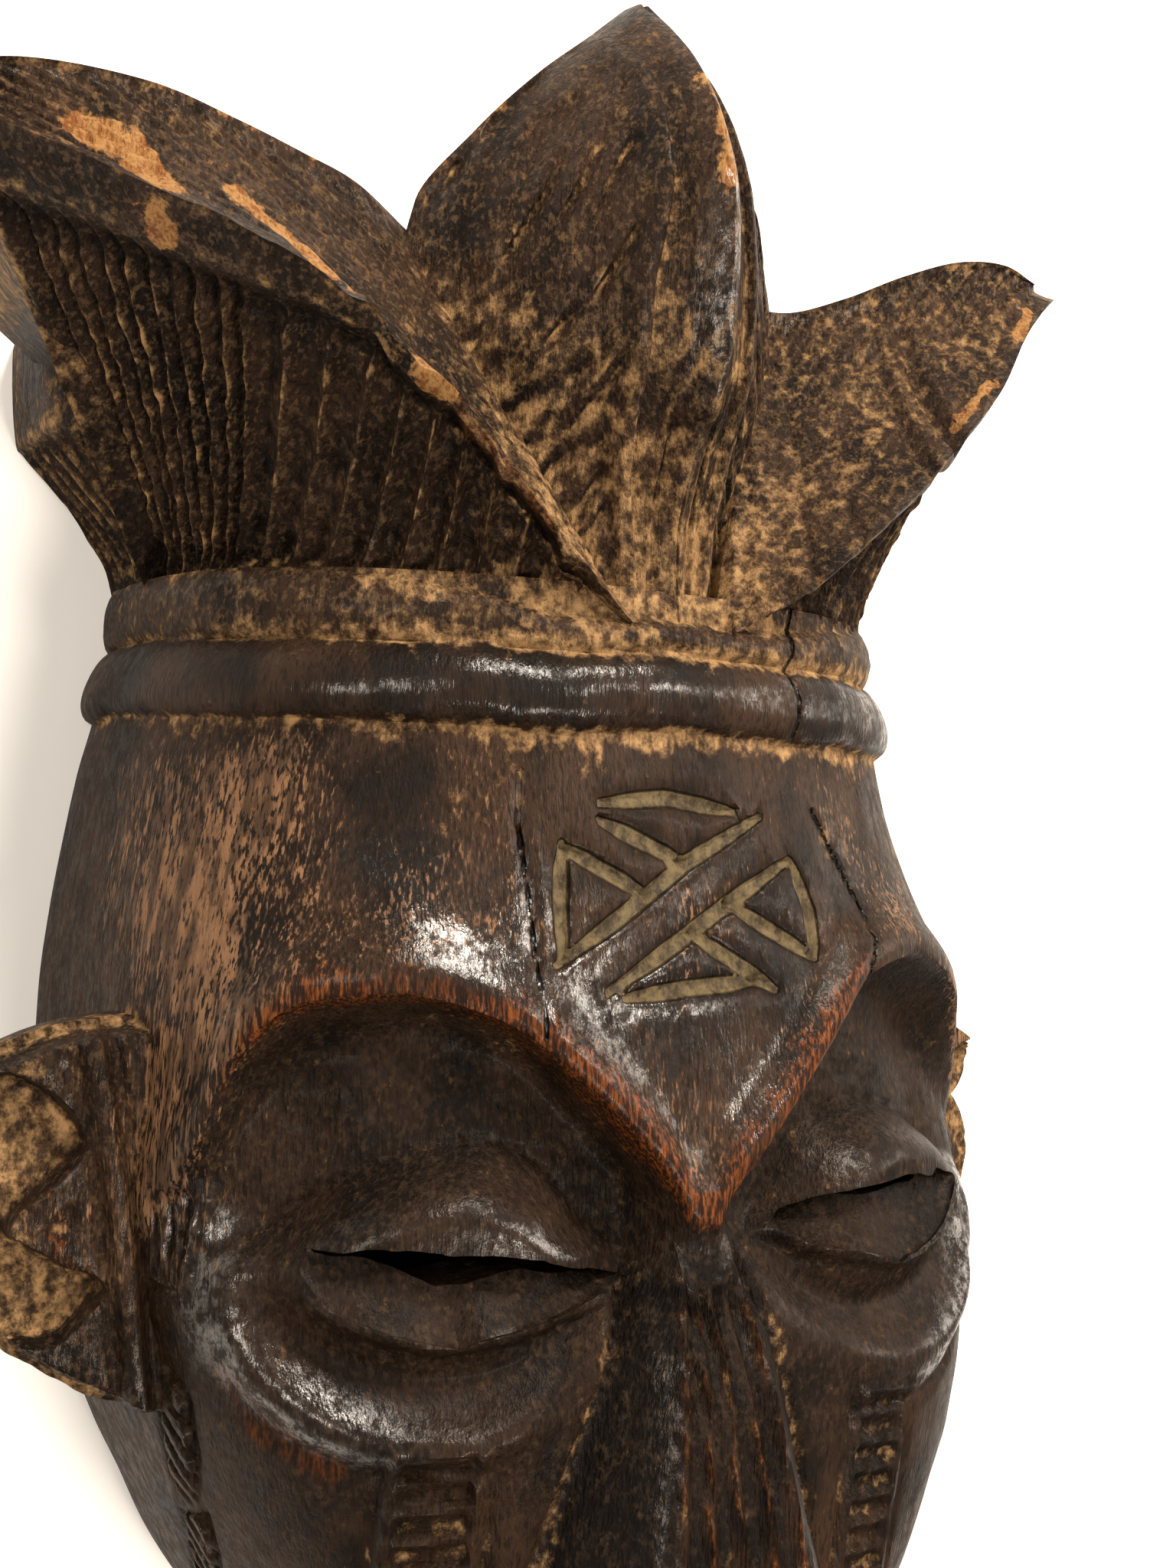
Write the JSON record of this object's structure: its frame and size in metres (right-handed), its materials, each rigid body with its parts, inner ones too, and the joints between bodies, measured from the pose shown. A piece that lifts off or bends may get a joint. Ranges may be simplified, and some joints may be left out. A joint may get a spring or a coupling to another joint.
{
  "type": "mask",
  "caption": "Carved wooden face mask with closed eyes under an arched brow, a banded leaf-shaped crown, flat ears and a hollowed back.",
  "frame": {"origin": "on the flat back, under the middle of the outline's box", "axes": "+X towards the mask's own left, +Y from the chin to the tip of the crown, +Z from the flat back out through the face"},
  "size_m": [0.2446, 0.344, 0.1355],
  "materials": {
    "wood": "dark hand-rubbed patina, half glossy on the high places and dusty in the cuts"
  },
  "bodies": {
    "root": {"mask": "wood"}
  },
  "joints": []
}
